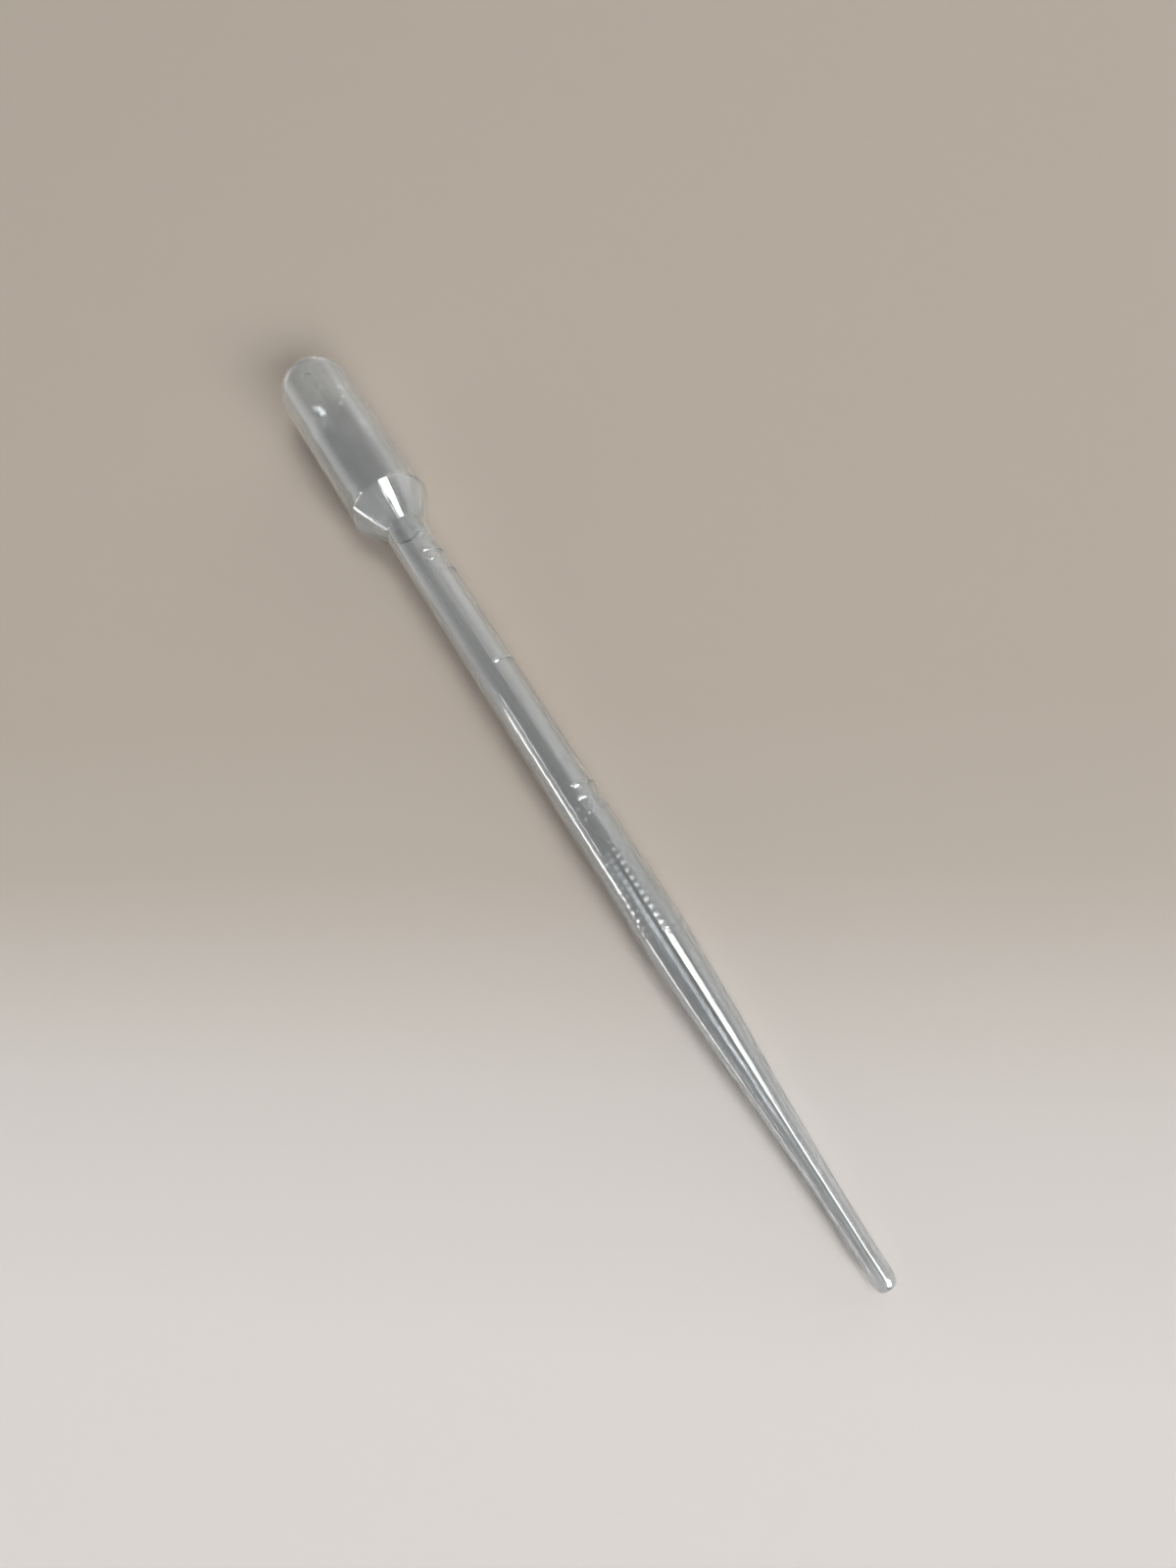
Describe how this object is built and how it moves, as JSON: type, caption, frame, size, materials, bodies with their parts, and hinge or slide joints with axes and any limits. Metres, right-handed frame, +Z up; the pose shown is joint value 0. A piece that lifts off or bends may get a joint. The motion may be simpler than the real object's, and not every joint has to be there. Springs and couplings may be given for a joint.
{
  "type": "plastic dropper pipette",
  "caption": "One-piece moulded dropper pipette: a squeeze bulb on a long hollow stem that tapers to a fine tip, with raised volume marks on the stem.",
  "frame": {"origin": "centre of the bounding box's bottom face, on the surface that the pipette lies on", "axes": "+Z up, +X from the bulb towards the tip in plan, +Y level and square to both; the raised marks face half-way between +Z and +Y"},
  "size_m": [0.1552, 0.0126, 0.0134],
  "materials": {
    "pipette": "translucent natural low-density polyethylene, glossy, with a slight haze and faint lengthwise drawing lines"
  },
  "bodies": {
    "root": {"pipette": "pipette"}
  },
  "joints": []
}
